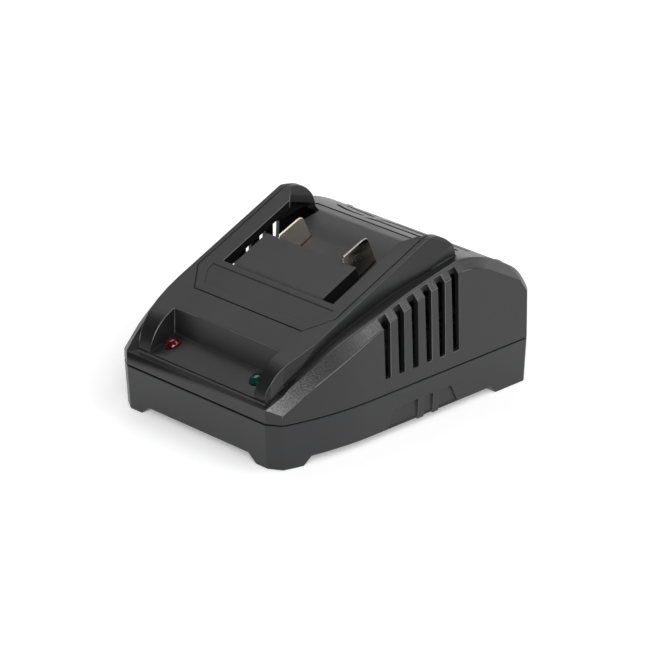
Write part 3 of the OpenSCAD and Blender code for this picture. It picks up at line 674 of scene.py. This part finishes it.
lower = refined("lower_housing", 0.00045, paint_edge_highlights=True)
use(lower, "lower_housing", "shell_plastic", SHELL_LOW, EDGE_HIGHLIGHT)
for p in lower.data.polygons:
    # painted edge highlight kept only along the lower housing's side walls between about 3 and 10.5 mm high
    if p.material_index == 1 and not (abs(p.center.x) > 0.0415 and 0.0032 < p.center.z < 0.0105 and p.normal.z > -0.3):
        p.material_index = 0

holder = refined("terminal_holder", 0.0006, paint_edge_highlights=True)
use(holder, "terminal_holder", "holder_plastic", HOLDER, EDGE_HIGHLIGHT, RECESS_SHADE)
for p in holder.data.polygons:
    # painted edge highlight kept only on the front, upward-facing crests of the holder
    if p.material_index == 1:
        if p.center.y > 0.0 or p.normal.z < 0.1:
            p.material_index = 0
    # painted shade on the holder's side walls in the narrow gap beside them
    elif abs(p.normal.x) > 0.8 and abs(p.center.x) > 0.020 and p.center.y < -0.001:
        p.material_index = 2

for n in ("positive_blade", "negative_blade"):
    blade = refined(n, 0.00014, 2)
    # the left blade gets the plain contact metal, the right blade the darker copy with painted shade
    use(blade, n, "contact_metal", CONTACT if sum(v.co.x for v in blade.data.vertices) < 0 else CONTACT_SHADED)

for n, mat, slot in (("red_led", RED, "red_lens"), ("green_led", GREEN, "green_lens")):
    use(refined(n, 0.0004, 3, sharp_angle=30), n, slot, mat)

inlet = refined("mains_inlet_shell", 0.0004)
use(inlet, "mains_inlet_shell", "inlet_plastic", INLET)

# ---------------------------------------------------------------- carried-over nodes
CARRIED = {
    "led_leads": TINNED, "housing_screws": SCREW, "main_board": BOARD, "board_screws": SCREW, "mains_inlet_pins": PIN,
    "input_wires": TINNED, "fuse": CERAMIC, "x_capacitor": CASE, "choke_core": FERRITE, "choke_winding": COPPER,
    "bridge_rectifier": EPOXY, "bulk_capacitor": SLEEVE, "switching_transistor": EPOXY, "primary_heat_sink": SINK,
    "transformer_core": FERRITE, "transformer_bobbin": BOBBIN, "transformer_winding": TAPE, "output_rectifier": EPOXY,
    "secondary_heat_sink": SINK, "output_capacitors": SLEEVE, "optocoupler": WHITE_EPOXY, "control_chip": EPOXY}
for n, mat in CARRIED.items():
    ob = nodes[n]
    if not ob.material_slots:
        ob.data.materials.append(mat)
    for s in ob.material_slots:
        s.material = mat

# ---------------------------------------------------------------- floor
bm = bmesh.new()
bmesh.ops.create_grid(bm, x_segments=8, y_segments=8, size=6)
floor_mesh = bpy.data.meshes.new("floor_mesh")
bm.to_mesh(floor_mesh)
bm.free()
floor = bpy.data.objects.new("floor", floor_mesh)
scene.collection.objects.link(floor)
floor.location.z = -0.00002
fm, ft, fb = node_material("floor_pale")
link(ft, ramp(ft, noise(ft, object_coords(ft), 3, 2), [(0.3, (0.90, 0.90, 0.905)), (0.7, (0.92, 0.92, 0.92))]), fb.inputs["Base Color"])
fb.inputs["Roughness"].default_value = 0.6
fb.inputs["Specular IOR Level"].default_value = 0.2
fb.inputs["Emission Color"].default_value = (1, 1, 1, 1)
fb.inputs["Emission Strength"].default_value = 0.3
floor_mesh.materials.append(fm)

# ---------------------------------------------------------------- light
world = bpy.data.worlds.new("studio")
scene.world = world
world.use_nodes = True
bg = world.node_tree.nodes["Background"]
bg.inputs["Color"].default_value = (0.985, 0.99, 1.0, 1)
bg.inputs["Strength"].default_value = 0.02


def area(name, location, target, size, power, colour=(1, 1, 1)):
    data = bpy.data.lights.new(name, "AREA")
    data.shape = "DISK"
    data.size = size[0]
    data.energy = power
    data.color = colour
    ob = bpy.data.objects.new(name, data)
    ob.location = location
    ob.rotation_euler = (Vector(target) - Vector(location)).to_track_quat("-Z", "Y").to_euler()
    scene.collection.objects.link(ob)
    return ob


# softboxes around the object: bearing from +X, height, strength
for k, (bearing, height, strength) in enumerate((
        (45, 8, 2.17), (90, 8, 5.02), (135, 8, 5.52), (0, 32, 8.76), (45, 32, 3.32), (90, 32, 1.02), (135, 32, 1.4),
        (180, 32, 0.74), (315, 32, 28.8), (45, 58, 8.96), (135, 58, 2.05), (180, 58, 6.23))):
    a, e = math.radians(bearing), math.radians(height)
    d = Vector((math.cos(e) * math.cos(a), math.cos(e) * math.sin(a), math.sin(e)))
    area("softbox_%02d" % k, d * 2.0 + Vector((0, 0, 0.03)), (0, 0, 0.03), (1.25, 1.25), strength)

# ---------------------------------------------------------------- camera
az, el, roll = math.radians(46.342), math.radians(23.223), math.radians(-0.480)
fwd = Vector((-math.sin(az) * math.cos(el), math.cos(az) * math.cos(el), -math.sin(el)))
right = Vector((math.cos(az), math.sin(az), 0))
up = right.cross(fwd)
r2 = right * math.cos(roll) + up * math.sin(roll)
u2 = -right * math.sin(roll) + up * math.cos(roll)
cam = bpy.data.cameras.new("view")
cam.sensor_width = 36
cam.lens = 3790.741 / 650 * 36
cam.clip_start = 0.05
cam.clip_end = 30
cam_ob = bpy.data.objects.new("view", cam)
scene.collection.objects.link(cam_ob)
m = Matrix((r2, u2, -fwd)).transposed().to_4x4()
m.translation = (0.856993, -0.816323, 0.531437)
cam_ob.matrix_world = m
scene.camera = cam_ob
scene.view_settings.view_transform = "Standard"
scene.view_settings.look = "None"
